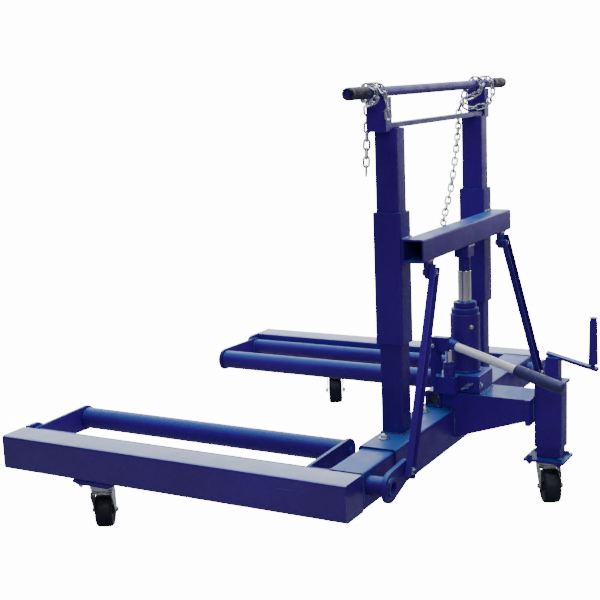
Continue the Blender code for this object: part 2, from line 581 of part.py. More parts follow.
def build_caster(name, x, caster, yaw):
    """Yoke with its swivel race and axle, and the wheel, both turned by the caster's yaw."""
    yoke_body, wheel_body = f"{name}_swivel", f"{name}_wheel"
    top, race_bottom = caster["top"], caster["race_bottom"]
    axle = Vector((x, caster["y"], WHEEL_RADIUS)) + trail_of(yaw)
    yoke = rod(f"{name}_yoke", STEEL, yoke_body, 0.035, race_bottom - 0.001, top, "Z",
               (x, caster["y"]), 24)
    centre = Vector((x, caster["y"], 0))
    cheek = [(CASTER_TRAIL + 0.012 * math.cos(a), WHEEL_RADIUS + 0.012 * math.sin(a))
             for a in [math.radians(180 + 22.5 * i) for i in range(9)]]
    cheek += [(0.036, race_bottom - 0.012), (0.030, race_bottom - 0.001),
              (-0.030, race_bottom - 0.001), (-0.030, race_bottom - 0.012)]
    for number, offset in enumerate((-1, 1)):
        side = extruded(f"{name}_cheek_{number}", None, yoke_body,
                        [[(px, pz - 0.08) for px, pz in cheek]], 0.003, "Y",
                        centre + Vector((0, 0, 0.08)), CUTTERS)
        side.rotation_euler = (math.pi / 2, 0, yaw)
        side.location += Vector((-math.sin(yaw), math.cos(yaw), 0)) * offset * 0.0295
        boolean(yoke, side, "UNION")
    crown = box(f"{name}_crown", None, yoke_body, (x - 0.029, caster["y"] - 0.0305, race_bottom - 0.004),
                (x + 0.029, caster["y"] + 0.0305, race_bottom), 0, CUTTERS)
    crown.rotation_euler = (0, 0, yaw)
    boolean(yoke, crown, "UNION")
    bolt = rod(f"{name}_axle", None, yoke_body, 0.006, -0.0385, 0.0385, "Y", (0, 0), 12, CUTTERS)
    bolt.location = axle - BODY_ORIGINS[yoke_body][1]
    bolt.rotation_euler = (-math.pi / 2, 0, yaw)
    boolean(yoke, bolt, "UNION")
    half = WHEEL_WIDTH / 2
    profile = [(0.0065, half), (0.044, half), (WHEEL_RADIUS, half - 0.010),
               (WHEEL_RADIUS, 0.010 - half), (0.044, -half), (0.0065, -half), (0.0065, half)]
    wheel = turned(f"{name}_wheel", TYRE, wheel_body, profile, "Y", axle)
    wheel.rotation_euler = (-math.pi / 2, 0, yaw)


# Safety chains, as plain tubes along their routes


def smooth_route(points, steps):
    """Catmull-Rom curve through the points."""
    padded = [2 * points[0] - points[1], *points, 2 * points[-1] - points[-2]]
    route = []
    for i in range(1, len(padded) - 2):
        a, b, c, d = padded[i - 1:i + 3]
        for step in range(steps):
            t = step / steps
            route.append(0.5 * (2 * b + (c - a) * t + (2 * a - 5 * b + 4 * c - d) * t * t
                                + (3 * b - a - 3 * c + d) * t ** 3))
    return route + [points[-1]]


CHAIN_ROUTES = {
    "left": [(0.398, -0.029, 1.128), (0.401, -0.030, 1.160), (0.404, -0.034, 1.190),
             (0.405, -0.046, 1.212), (0.406, -0.066, 1.218), (0.408, -0.083, 1.203),
             (0.415, -0.087, 1.180), (0.427, -0.076, 1.166), (0.438, -0.056, 1.168),
             (0.446, -0.039, 1.185), (0.447, -0.042, 1.208), (0.443, -0.062, 1.218),
             (0.430, -0.084, 1.209), (0.405, -0.101, 1.196), (0.375, -0.111, 1.182),
             (0.350, -0.116, 1.166), (0.338, -0.1175, 1.140), (0.342, -0.118, 1.100),
             (0.347, -0.119, 1.045), (0.352, -0.120, 0.978)],
    "right": [(-0.402, -0.085, 1.188), (-0.402, -0.080, 1.209), (-0.402, -0.062, 1.218),
              (-0.402, -0.043, 1.209), (-0.403, -0.035, 1.190), (-0.401, -0.033, 1.170),
              (-0.385, -0.033, 1.154), (-0.362, -0.034, 1.141), (-0.342, -0.036, 1.132),
              (-0.332, -0.050, 1.127), (-0.328, -0.072, 1.124), (-0.318, -0.092, 1.126),
              (-0.312, -0.102, 1.142), (-0.315, -0.098, 1.165), (-0.318, -0.089, 1.190),
              (-0.318, -0.078, 1.211), (-0.317, -0.060, 1.218), (-0.315, -0.042, 1.209),
              (-0.312, -0.036, 1.190), (-0.306, -0.045, 1.172), (-0.297, -0.066, 1.160),
              (-0.286, -0.088, 1.150), (-0.272, -0.097, 1.128), (-0.258, -0.095, 1.100),
              (-0.241, -0.089, 1.078), (-0.177, -0.071, 1.012), (-0.100, -0.0575, 0.909),
              (-0.060, -0.0545, 0.862), (-0.016, -0.048, 0.822), (0.018, -0.039, 0.802)],
}


def build_chain(side):
    points = smooth_route([Vector(p) for p in CHAIN_ROUTES[side]], 2)
    curve = bpy.data.curves.new(f"safety_chain_{side}", "CURVE")
    curve.dimensions = "3D"
    curve.bevel_depth = CHAIN_TUBE_RADIUS
    curve.bevel_resolution = 2
    curve.use_fill_caps = True
    spline = curve.splines.new("POLY")
    spline.points.add(len(points) - 1)
    for target, point in zip(spline.points, points):
        target.co = (*point, 1)
    obj = bpy.data.objects.new(f"safety_chain_{side}", curve)
    bpy.context.scene.collection.objects.link(obj)
    finish(obj, f"safety_chain_{side}", STEEL, "root")


def build_all():
    front_y, rear_y = -FORK_LENGTH, SCREW_Y + CRANK_RADIUS + CRANK_GRIP_RADIUS
    body("root", (0, 0, 0))
    BODY_ORIGINS["root"][0].location = (0, -(front_y + rear_y) / 2, 0)
    body("carriage", (0, MAST_Y, BEAM_BOTTOM_Z), "root")
    for side, sign in SIDES.items():
        body(f"rocker_{side}", (sign * SHAFT_X, 0, SHAFT_Z), "root")
        body(f"roller_{side}", (sign * ROLLER_X, 0, ROLLER_Z), f"rocker_{side}")
        body(f"link_{side}", (sign * LINK_TOP.x, LINK_TOP.y, LINK_TOP.z), "carriage")
    body("pump_lever", (PUMP_X, PUMP_PIVOT_Y, PUMP_PIVOT_Z), "root")
    body("pump_piston", (PUMP_X, PUMP_PISTON_Y, JACK_BASE_TOP_Z), "root")
    body("release_valve", (0.070, VALVE_Y, VALVE_Z), "root")
    body("leg", (0, LEG_Y, LEG_BOTTOM_Z), "root")
    body("crank", (0, SCREW_Y, LEG_TOP_Z), "root")
    body("crank_grip", (0, SCREW_Y + CRANK_RADIUS, 0.45), "crank")
    fork_x = FORK_OUTER_X - FORK_TUBE / 2
    casters = {"front_caster_left": (fork_x, FRONT_CASTER, "root", CASTER_YAW + math.pi),
               "front_caster_right": (-fork_x, FRONT_CASTER, "root", CASTER_YAW),
               "rear_caster": (0, REAR_CASTER, "leg", CASTER_YAW)}
    for name, (x, caster, parent, yaw) in casters.items():
        centre = Vector((x, caster["y"], WHEEL_RADIUS))
        body(f"{name}_swivel", centre, parent)
        body(f"{name}_wheel", centre + trail_of(yaw), f"{name}_swivel")
    build_forks()
    build_mast()
    build_rear_frame()
    build_jack()
    build_carriage()
    for side, sign in SIDES.items():
        build_rocker(side, sign)
        build_link(side, sign)
        build_chain(side)
    build_pump()
    build_leg()
    build_crank()
    for name, (x, caster, _, yaw) in casters.items():
        build_caster(name, x, caster, yaw)
    for obj in PARTS.objects:
        if obj.type == "MESH":
            obj.data.shade_smooth()
            obj.data.set_sharp_from_angle(angle=math.radians(35))


build_all()
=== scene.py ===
import json
import math
import random

import bmesh
import bpy
from mathutils import Matrix, Vector


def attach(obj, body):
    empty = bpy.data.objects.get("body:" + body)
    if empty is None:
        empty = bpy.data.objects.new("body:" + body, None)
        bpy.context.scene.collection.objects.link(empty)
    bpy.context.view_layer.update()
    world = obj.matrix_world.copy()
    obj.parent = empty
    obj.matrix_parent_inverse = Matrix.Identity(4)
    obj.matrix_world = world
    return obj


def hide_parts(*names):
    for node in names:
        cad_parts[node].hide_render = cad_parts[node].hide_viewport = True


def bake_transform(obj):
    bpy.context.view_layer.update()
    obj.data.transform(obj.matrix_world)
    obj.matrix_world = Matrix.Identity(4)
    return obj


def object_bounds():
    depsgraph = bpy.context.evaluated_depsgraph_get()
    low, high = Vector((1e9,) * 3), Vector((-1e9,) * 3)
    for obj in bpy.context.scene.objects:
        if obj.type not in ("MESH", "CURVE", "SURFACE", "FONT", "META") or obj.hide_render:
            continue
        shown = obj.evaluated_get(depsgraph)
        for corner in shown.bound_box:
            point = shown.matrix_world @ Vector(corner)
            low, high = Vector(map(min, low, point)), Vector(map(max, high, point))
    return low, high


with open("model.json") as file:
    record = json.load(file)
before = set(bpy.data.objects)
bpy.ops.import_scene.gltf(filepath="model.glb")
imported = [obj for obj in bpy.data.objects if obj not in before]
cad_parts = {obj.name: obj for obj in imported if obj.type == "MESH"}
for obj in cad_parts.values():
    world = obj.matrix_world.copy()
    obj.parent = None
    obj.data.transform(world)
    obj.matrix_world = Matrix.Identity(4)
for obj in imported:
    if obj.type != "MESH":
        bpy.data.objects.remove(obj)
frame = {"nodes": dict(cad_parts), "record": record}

CAD_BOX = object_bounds()
NODES = frame["nodes"]
RNG = random.Random(7)
Y_SHIFT = 0.35125  # from the chassis' rear face to the row frame's origin
X, Y, Z = Vector((1, 0, 0)), Vector((0, 1, 0)), Vector((0, 0, 1))
SIDES = {"left": 1, "right": -1}

# Places and sizes from the CAD: metres, y from the chassis' rear face
PUSH_BAR_Y, PUSH_BAR_Z = -0.062, 1.197
POST_X, POST_Y = 0.316, -0.065
POST_OUTER_X, POST_TOP_Z = 0.346, 1.100
TIE_BAR_END_X = 0.3415
BOX_TOP_Z = 0.261
JACK_Y = 0.0185
PUMP_X, PUMP_PISTON_Y, PUMP_PIVOT_Y, PUMP_PIVOT_Z = 0.080, -0.002, -0.042, 0.458
PUMP_HANDLE_START, PUMP_HANDLE_END = (0.080, 0.007, 0.461), (0.1803, 0.3693, 0.3867)
PUMP_TUBE_LENGTH = 0.2299  # the white tube, up to its grip
CRANK_GRIP_Y = 0.400
SHAFT_X, SHAFT_Z = 0.632, 0.215
ROLLER_X, ROLLER_Z = 0.407, 0.213
LEVER_PIN_X, LEVER_PIN_Z = 0.53647, 0.23184
LINK_TOP_X, LINK_TOP_Z = 0.288, 0.709
FORK_X, FRONT_CASTER_Y, REAR_CASTER_Y = 0.716, -0.800, 0.270
WHEEL_RADIUS, CASTER_TRAIL, CASTER_YAW = 0.050, 0.026, math.radians(29.4)
CHEEK_OFFSET = 0.0295

# Set a little off the CAD's own faces
PUSH_GRIP_START_X = 0.4605
BEAM_WELD_Y = -0.0238


def at(x, y, z):
    """A point given from the chassis' rear face, in the row frame."""
    return Vector((x, y + Y_SHIFT, z))


# Camera


def make_camera():
    azimuth, elevation, roll = (math.radians(a) for a in (119.4031, 10.8233, -2.3198))
    forward = Vector((-math.sin(azimuth) * math.cos(elevation),
                      math.cos(azimuth) * math.cos(elevation), -math.sin(elevation)))
    right = forward.cross(Z).normalized()
    up = right.cross(forward)
    turned = math.cos(roll) * right + math.sin(roll) * up
    upright = math.cos(roll) * up - math.sin(roll) * right
    camera = bpy.data.objects.new("camera", bpy.data.cameras.new("camera"))
    bpy.context.scene.collection.objects.link(camera)
    rotation = Matrix((turned, upright, -forward)).transposed().to_4x4()
    camera.matrix_world = Matrix.Translation(at(3.2153, 1.2747, 1.2519)) @ rotation
    camera.data.sensor_width = 36
    camera.data.lens = 71.05
    bpy.context.scene.camera = camera


make_camera()


# Shading by angle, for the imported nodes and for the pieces


def smoothing_group():
    group = bpy.data.node_groups.new("smooth_by_angle", "GeometryNodeTree")
    group.interface.new_socket("Geometry", in_out="INPUT", socket_type="NodeSocketGeometry")
    group.interface.new_socket("Geometry", in_out="OUTPUT", socket_type="NodeSocketGeometry")
    made = {key: group.nodes.new(kind) for key, kind in {
        "in": "NodeGroupInput", "out": "NodeGroupOutput", "merge": "GeometryNodeMergeByDistance",
        "angle": "GeometryNodeInputMeshEdgeAngle", "less": "FunctionNodeCompare",
        "faces": "GeometryNodeSetShadeSmooth", "edges": "GeometryNodeSetShadeSmooth"}.items()}
    made["merge"].inputs["Distance"].default_value = 0.00001
    made["less"].operation = "LESS_THAN"
    made["less"].inputs[1].default_value = math.radians(36)
    made["faces"].domain, made["edges"].domain = "FACE", "EDGE"
    link = group.links.new
    link(made["in"].outputs[0], made["merge"].inputs["Geometry"])
    link(made["merge"].outputs[0], made["faces"].inputs["Geometry"])
    link(made["faces"].outputs[0], made["edges"].inputs["Geometry"])
    link(made["angle"].outputs["Unsigned Angle"], made["less"].inputs[0])
    link(made["less"].outputs[0], made["edges"].inputs["Shade Smooth"])
    link(made["edges"].outputs[0], made["out"].inputs[0])
    return group


SMOOTHING = smoothing_group()


def smooth(obj):
    shading = obj.modifiers.new("smooth", "NODES")
    shading.node_group = SMOOTHING
    weighted = obj.modifiers.new("weighted", "WEIGHTED_NORMAL")
    weighted.keep_sharp = True


# Materials


class Shader:
    """A Principled material and short calls for its nodes. Every pattern is in object coordinates."""

    def __init__(self, name, base, roughness, metallic=0.0, coat=0.0, coat_roughness=0.1):
        self.material = bpy.data.materials.new(name)
        self.material.use_nodes = True
        self.tree = self.material.node_tree
        self.shader = self.tree.nodes["Principled BSDF"]
        self.shader.inputs["Metallic"].default_value = metallic
        self.shader.inputs["Roughness"].default_value = roughness
        self.shader.inputs["Base Color"].default_value = (*base, 1)
        self.shader.inputs["Coat Weight"].default_value = coat
        self.shader.inputs["Coat Roughness"].default_value = coat_roughness
        self.coordinates = self.tree.nodes.new("ShaderNodeTexCoord")
        self.height = None

    def node(self, kind, **settings):
        made = self.tree.nodes.new(kind)
        for key, value in settings.items():
            setattr(made, key, value)
        return made

    def link(self, output, socket):
        self.tree.links.new(output, socket)

    def noise(self, scale, detail=4.0, roughness=0.5, stretch=(1, 1, 1), offset=0.0):
        mapping = self.node("ShaderNodeMapping")
        mapping.inputs["Scale"].default_value = stretch
        mapping.inputs["Location"].default_value = (offset, offset, offset)
        self.link(self.coordinates.outputs["Object"], mapping.inputs["Vector"])
        made = self.node("ShaderNodeTexNoise")
        made.inputs["Scale"].default_value = scale
        made.inputs["Detail"].default_value = detail
        made.inputs["Roughness"].default_value = roughness
        self.link(mapping.outputs[0], made.inputs["Vector"])
        return made.outputs["Fac"]

    def ramp(self, value, low, high, start=0.0, stop=1.0):
        made = self.node("ShaderNodeMapRange")
        for key, number in (("From Min", low), ("From Max", high), ("To Min", start), ("To Max", stop)):
            made.inputs[key].default_value = number
        self.link(value, made.inputs["Value"])
        return made.outputs[0]

    def mix(self, factor, first, second):
        made = self.node("ShaderNodeMix", data_type="RGBA")
        self.link(factor, made.inputs["Factor"])
        for value, socket in ((first, made.inputs[6]), (second, made.inputs[7])):
            if isinstance(value, tuple):
                socket.default_value = (*value, 1)
            else:
                self.link(value, socket)
        return made.outputs[2]

    def math(self, operation, first, second):
        made = self.node("ShaderNodeMath", operation=operation)
        for value, socket in ((first, made.inputs[0]), (second, made.inputs[1])):
            if isinstance(value, (int, float)):
                socket.default_value = value
            else:
                self.link(value, socket)
        return made.outputs[0]

    def colour(self, output):
        self.link(output, self.shader.inputs["Base Color"])

    def roughness(self, output):
        self.link(output, self.shader.inputs["Roughness"])

    def bump(self, value, distance, strength=1.0):
        made = self.node("ShaderNodeBump")
        made.inputs["Distance"].default_value = distance
        made.inputs["Strength"].default_value = strength
        self.link(value, made.inputs["Height"])
        if self.height:
            self.link(self.height, made.inputs["Normal"])
        self.height = made.outputs[0]
        self.link(self.height, self.shader.inputs["Normal"])

    def facing_up(self, low, high):
        split = self.node("ShaderNodeSeparateXYZ")
        self.link(self.coordinates.outputs["Normal"], split.inputs[0])
        return self.ramp(split.outputs["Z"], low, high)


def blue_paint(name, coat, base=(0.050, 0.0002, 0.30), top=(0.020, 0.120, 0.40)):
    """Gloss ultramarine over welded steel: upward faces painted paler as a painted sky reflection, with
    scuffs, chips and orange peel.
    """
    s = Shader(name, base, 0.3, coat=coat, coat_roughness=0.08)
    s.shader.inputs["IOR"].default_value = 1.3
    broad = s.ramp(s.noise(2.6, 5), 0.35, 0.7)
    deep = tuple(c * 0.72 for c in base)
    colour = s.mix(broad, deep, tuple(c * 1.12 for c in base))
    # Painted reflection: faces that point up are mixed towards the pale blue top colour, a painted sky sheen
    # made patchy by noise
    painted_sky_reflection = s.math("MULTIPLY", s.facing_up(0.45, 0.95), s.ramp(s.noise(9, 6), 0.2, 0.75, 0.55, 1.0))
    colour = s.mix(painted_sky_reflection, colour, top)
    scratch = s.ramp(s.noise(46, 3, 0.6, (1, 0.06, 1)), 0.72, 0.76, 0, 0.5)
    colour = s.mix(scratch, colour, (0.10, 0.16, 0.42))
    chip = s.ramp(s.noise(150, 2, 0.4, offset=3.1), 0.79, 0.81)
    chip = s.math("MULTIPLY", chip, s.ramp(s.noise(11, 2, offset=5.0), 0.52, 0.6))
    colour = s.mix(chip, colour, (0.30, 0.26, 0.25))
    s.colour(colour)
    s.roughness(s.ramp(s.noise(17, 5, offset=1.7), 0.3, 0.7, 0.34, 0.50))
    s.bump(s.noise(240, 3, 0.6), 0.0002, 0.30)
    s.bump(s.noise(24, 3, offset=8.0), 0.0006, 0.25)
    return s.material


def weld_paint():
    s = Shader("painted_weld", (0.015, 0.01, 0.22), 0.35, coat=0.6, coat_roughness=0.12)
    soot = s.ramp(s.noise(60, 4), 0.4, 0.65)
    s.colour(s.mix(soot, (0.022, 0.001, 0.20), (0.030, 0.09, 0.36)))
    s.roughness(s.ramp(s.noise(120, 3), 0.3, 0.7, 0.25, 0.5))
    s.bump(s.noise(420, 2), 0.0004, 0.6)
    return s.material


def zinc(name="zinc_plate", base=(0.66, 0.67, 0.66), dull=0.22):
    """Zinc-plated steel with a fine spangle, a little white bloom and dark handling marks."""
    s = Shader(name, base, dull, metallic=1.0)
    spangle = s.node("ShaderNodeTexVoronoi")
    spangle.inputs["Scale"].default_value = 260
    s.link(s.coordinates.outputs["Object"], spangle.inputs["Vector"])
    tone = s.mix(s.ramp(spangle.outputs["Color"], 0.0, 1.0), tuple(c * 0.82 for c in base), base)
    bloom = s.ramp(s.noise(38, 5), 0.55, 0.75, 0, 0.6)
    tone = s.mix(bloom, tone, (0.80, 0.80, 0.78))
    grime = s.ramp(s.noise(75, 5, offset=2.0), 0.62, 0.75, 0, 0.7)
    s.colour(s.mix(grime, tone, (0.20, 0.18, 0.16)))
    s.roughness(s.ramp(s.noise(90, 4, offset=4.0), 0.3, 0.7, dull, dull + 0.24))
    s.bump(s.noise(600, 2), 0.0001, 0.5)
    return s.material


def chrome():
    s = Shader("hard_chrome", (0.78, 0.76, 0.80), 0.08, metallic=1.0)
    film = s.ramp(s.noise(30, 4, 0.5, (1, 1, 0.2)), 0.45, 0.7, 0, 0.5)
    s.colour(s.mix(film, (0.78, 0.76, 0.80), (0.50, 0.46, 0.52)))
    s.roughness(s.ramp(s.noise(55, 4, 0.5, (4, 4, 0.3)), 0.3, 0.7, 0.05, 0.16))
    s.bump(s.noise(900, 1, 0.5, (1, 1, 0.05)), 0.00005, 0.4)
    return s.material


def enamel():
    s = Shader("white_enamel", (0.95, 0.95, 0.95), 0.3, coat=0.8, coat_roughness=0.1)
    grime = s.ramp(s.noise(26, 6), 0.56, 0.75, 0, 0.35)
    s.colour(s.mix(grime, (0.95, 0.95, 0.95), (0.70, 0.70, 0.74)))
    s.roughness(s.ramp(s.noise(40, 4), 0.3, 0.7, 0.24, 0.4))
    s.bump(s.noise(260, 2), 0.0002, 0.35)
    return s.material


def rubber(name, base, sheen, grain=380.0, stretch=(1, 1, 1)):
    s = Shader(name, base, 0.5)
    s.shader.inputs["Sheen Weight"].default_value = sheen
    s.shader.inputs["Sheen Roughness"].default_value = 0.4
    s.shader.inputs["Sheen Tint"].default_value = (0.35, 0.33, 0.75, 1)
    dusty = s.ramp(s.noise(21, 6), 0.45, 0.72, 0, 0.6)
    s.colour(s.mix(dusty, base, tuple(c * 2.2 + 0.006 for c in base)))
    s.roughness(s.ramp(s.noise(48, 4), 0.3, 0.7, 0.38, 0.62))
    s.bump(s.noise(grain, 3, 0.6, stretch), 0.0003, 0.6)
    return s.material


MATERIALS = {
    "blue_paint": blue_paint("blue_paint_gloss", 0.06),
    "zinc_steel": zinc(),
    "chrome": chrome(),
    "white_enamel": enamel(),
    "black_rubber": rubber("grip_rubber", (0.003, 0.002, 0.020), 0.05),
    "wheel_polymer": rubber("caster_polymer", (0.002, 0.002, 0.014), 0.03, 300),
}
WELD = weld_paint()
FORK_PAINT = blue_paint("blue_paint_fork", 0.75)


def finish_nodes():
    slots = {s["node"]: s["material_slot"] for s in frame["record"]["subparts"]}
    for name, obj in NODES.items():
        if not obj.material_slots:
            obj.data.materials.append(None)
        for held in obj.material_slots:
            held.material = FORK_PAINT if name.startswith("fork_tube") else MATERIALS[slots[name]]
        smooth(obj)


finish_nodes()


# Mesh building, in the row frame


def basis(axis):
    w = Vector(axis).normalized()
    u = w.orthogonal().normalized()
    if abs(w.z) > 0.99:
        u = Vector((1, 0, 0))
    return u, w.cross(u), w


class Piece:
    """Closed shapes gathered in one mesh, made into an object that rides on a body."""

    def __init__(self):
        self.mesh = bmesh.new()

    def loft(self, rings, wrap=False):
        verts = [[self.mesh.verts.new(p) for p in ring] for ring in rings]
        count = len(rings[0])
        for a, b in zip(verts, verts[1:] + (verts[:1] if wrap else [])):
            for i in range(count):
                self.mesh.faces.new((a[i], a[(i + 1) % count], b[(i + 1) % count], b[i]))
        if not wrap:
            self.mesh.faces.new(list(reversed(verts[0])))
            self.mesh.faces.new(verts[-1])

    def lathe(self, profile, base, axis=Z, steps=36, wrap=False):
        """Turned solid; the profile holds (radius, height) along the axis."""
        u, v, w = basis(axis)
        rings = []
        for radius, height in profile:
            radius = max(radius, 0.00015)
            rings.append([base + w * height + radius * (math.cos(a) * u + math.sin(a) * v)
                          for a in (2 * math.pi * i / steps for i in range(steps))])
        self.loft(rings, wrap)

    def prism(self, outline, base, u, v, low, high, chamfer=0.0):
        """Outline of (u, v) points, pushed along u x v from low to high, with its rims chamfered."""
        w = u.cross(v)
        centre = Vector((sum(p[0] for p in outline), sum(p[1] for p in outline))) / len(outline)
        reach = min((Vector(p) - centre).length for p in outline)
        rings = []
        inset = 1 - chamfer / reach if chamfer else 1
        levels = [(low, inset), (low + chamfer, 1), (high - chamfer, 1), (high, inset)]
        for height, scale in levels if chamfer else [(low, 1), (high, 1)]:
            rings.append([base + u * (centre.x + (x - centre.x) * scale)
                          + v * (centre.y + (y - centre.y) * scale) + w * height for x, y in outline])
        self.loft(rings)

    def pipe(self, points, radii, sides=8, wrap=False):
        """Tube along the points; radii is one radius or one per point."""
        points = [Vector(p) for p in points]
        count = len(points)
        radii = [radii] * count if isinstance(radii, float) else radii
        rings, normal = [], None
        for i, point in enumerate(points):
            if wrap:
                tangent = points[(i + 1) % count] - points[i - 1]
            else:
                tangent = points[min(i + 1, count - 1)] - points[max(i - 1, 0)]
            tangent.normalize()
            normal = (normal or tangent.orthogonal()).normalized()
            normal = (normal - tangent * normal.dot(tangent)).normalized()
            other = tangent.cross(normal)
            rings.append([point + radii[i] * (math.cos(a) * normal + math.sin(a) * other)
                          for a in (2 * math.pi * k / sides for k in range(sides))])
        self.loft(rings, wrap)

    def bead(self, points, radius=0.003, closed=False):
        """Weld bead with a ripple every few millimetres and slightly uneven width."""
        points = [Vector(p) for p in points]
        if closed:
            points.append(points[0])
        path, radii = [], []
        for a, b in zip(points, points[1:]):
            steps = max(2, round((b - a).length / 0.0022))
            for i in range(steps):
                path.append(a.lerp(b, i / steps))
        if not closed:
            path.append(points[-1])
        for i in range(len(path)):
            ripple = 0.84 + 0.22 * abs(math.sin(i * math.pi / 3))
            radii.append(radius * ripple * RNG.uniform(0.92, 1.08))
        if not closed:
            radii[0] = radii[-1] = radius * 0.5
        self.pipe(path, radii, 6, closed)

    def hexagon(self, base, axis, across, height):
        u, v = basis(axis)[:2]
        radius = across / 2 / math.cos(math.pi / 6)
        outline = [(radius * math.cos(math.pi * k / 3), radius * math.sin(math.pi * k / 3))
                   for k in range(6)]
        self.prism(outline, base, u, v, 0, height, height * 0.16)

    def bolt(self, base, axis, across=0.017, height=0.0075, washer=0.0125, end=0.0):
        """Washer, hexagon and, if end is given, the rounded end of the thread."""
        axis = Vector(axis).normalized()
        self.lathe([(washer * 0.96, 0), (washer, 0.0004), (washer, 0.0013), (washer * 0.95, 0.0018)],
                   base, axis, 24)
        self.hexagon(base + axis * 0.0017, axis, across, height)
        stem = across * 0.29
        if end:
            top = 0.0016 + height + end
            self.lathe([(stem, 0.002), (stem, top - 0.0012), (stem * 0.75, top)], base, axis, 16)
        else:
            top = 0.0016 + height
            self.lathe([(across * 0.40, top - 0.001), (across * 0.36, top + 0.0006), (0.0002, top + 0.0014)],
                       base, axis, 20)

    def made(self, name, body, material, slot, stands_for=(), ride=True):
        bmesh.ops.recalc_face_normals(self.mesh, faces=self.mesh.faces)
        data = bpy.data.meshes.new(name)
        self.mesh.to_mesh(data)
        self.mesh.free()
        data.shade_smooth()
        obj = bpy.data.objects.new(name, data)
        bpy.context.scene.collection.objects.link(obj)
        data.materials.append(material)
        smooth(obj)
        if stands_for:
            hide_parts(*stands_for)
        if ride:
            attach(obj, body)
        return obj


def rounded(width, height, radius, steps=4):
    x, y = width / 2 - radius, height / 2 - radius
    corners = [((x, y), 0), ((-x, y), 90), ((-x, -y), 180), ((x, -y), 270)]
    return [(c[0] + radius * math.cos(math.radians(start + 90 * i / steps)),
             c[1] + radius * math.sin(math.radians(start + 90 * i / steps)))
            for c, start in corners for i in range(steps + 1)]


# Safety chains: real links along the routes of their stand-in tubes

CHAIN_ROUTES = {
    "left": [(0.398, -0.029, 1.128), (0.401, -0.030, 1.160), (0.404, -0.034, 1.190),
             (0.405, -0.046, 1.212), (0.406, -0.066, 1.218), (0.408, -0.083, 1.203),
             (0.415, -0.087, 1.180), (0.427, -0.076, 1.166), (0.438, -0.056, 1.168),
             (0.446, -0.039, 1.185), (0.447, -0.042, 1.208), (0.443, -0.062, 1.218),
             (0.430, -0.084, 1.209), (0.405, -0.101, 1.196), (0.375, -0.111, 1.182),
             (0.350, -0.116, 1.166), (0.338, -0.1175, 1.140), (0.342, -0.118, 1.100),
             (0.347, -0.119, 1.045), (0.352, -0.120, 0.978)],
    "right": [(-0.402, -0.085, 1.188), (-0.402, -0.080, 1.209), (-0.402, -0.062, 1.218),
              (-0.402, -0.043, 1.209), (-0.403, -0.035, 1.190), (-0.401, -0.033, 1.170),
              (-0.385, -0.033, 1.154), (-0.362, -0.034, 1.141), (-0.342, -0.036, 1.132),
              (-0.332, -0.050, 1.127), (-0.328, -0.072, 1.124), (-0.318, -0.092, 1.126),
              (-0.312, -0.102, 1.142), (-0.315, -0.098, 1.165), (-0.318, -0.089, 1.190),
              (-0.318, -0.078, 1.211), (-0.317, -0.060, 1.218), (-0.315, -0.042, 1.209),
              (-0.312, -0.036, 1.190), (-0.306, -0.045, 1.172), (-0.297, -0.066, 1.160),
              (-0.286, -0.088, 1.150), (-0.272, -0.097, 1.128), (-0.258, -0.095, 1.100),
              (-0.241, -0.089, 1.078), (-0.177, -0.071, 1.012), (-0.100, -0.0575, 0.909),
              (-0.060, -0.0545, 0.862), (-0.016, -0.048, 0.822), (0.018, -0.039, 0.802)],
}
LINK_WIRE, LINK_WIDTH, LINK_PITCH = 0.0058, 0.021, 0.023
CHAIN_TOP = CAD_BOX[1][2] - LINK_WIRE / 2 - 0.0002
PUSH_BAR = at(0, PUSH_BAR_Y, PUSH_BAR_Z)


def curved(points, steps):
    """Catmull-Rom curve through the points."""
    padded = [2 * points[0] - points[1], *points, 2 * points[-1] - points[-2]]
    route = []
    for i in range(1, len(padded) - 2):
        a, b, c, d = padded[i - 1:i + 3]
        for step in range(steps):
            t = step / steps
            route.append(0.5 * (2 * b + (c - a) * t + (2 * a - 5 * b + 4 * c - d) * t * t
                                + (3 * b - a - 3 * c + d) * t ** 3))
    return route + [points[-1]]


def spaced(route, count):
    """count + 1 points spread evenly along the route, and its length."""
    steps = [(b - a).length for a, b in zip(route, route[1:])]
    total = sum(steps)
    found, done, i = [], 0.0, 0
    for k in range(count + 1):
        wanted = total * k / count
        while i < len(steps) - 1 and done + steps[i] < wanted:
            done += steps[i]
            i += 1
        found.append(route[i].lerp(route[i + 1], min(1, (wanted - done) / steps[i])))
    return found, total


def make_chain(side):
    route = curved([at(*p) for p in CHAIN_ROUTES[side]], 8)
    length = sum((b - a).length for a, b in zip(route, route[1:]))
    ends, length = spaced(route, round(length / LINK_PITCH))
    piece = Piece()
    bend = (LINK_WIDTH - LINK_WIRE) / 2
    for i, (a, b) in enumerate(zip(ends, ends[1:])):
        centre, tangent = (a + b) / 2, (b - a).normalized()
        straight = (b - a).length / 2 + LINK_WIRE / 2 - bend
        radial = centre - Vector((centre.x, PUSH_BAR.y, PUSH_BAR.z))
        near_bar = radial.length < 0.045
        facing = radial if near_bar else Vector((0.856, 0.482, 0.05))
        facing = (facing - tangent * facing.dot(tangent)).normalized()
        turn = math.radians(45 if near_bar else RNG.uniform(-14, 22)) + (math.pi / 2) * (i % 2)
        wide = Matrix.Rotation(turn, 3, tangent) @ facing.cross(tangent)
        ring = []
        for end, start in ((1, -90), (-1, 90)):
            for k in range(7):
                angle = math.radians(start + 30 * k)
                ring.append(centre + tangent * (end * straight + bend * math.cos(angle))
                            + wide * bend * math.sin(angle))
        for point in ring:
            point.z = min(point.z, CHAIN_TOP)
        piece.pipe(ring, LINK_WIRE / 2, 8, wrap=True)
    name = f"safety_chain_{side}_links"
    loose = side == "left"
    obj = piece.made(name, "root", zinc(name + "_zinc", (0.74, 0.73, 0.74), 0.16), "zinc_steel",
                     (f"safety_chain_{side}",), ride=loose)
    if loose:
        start = at(0.386, -0.036, 1.130)
    else:
        start = route[0]
        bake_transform(obj)


for chain_side in SIDES:
    make_chain(chain_side)


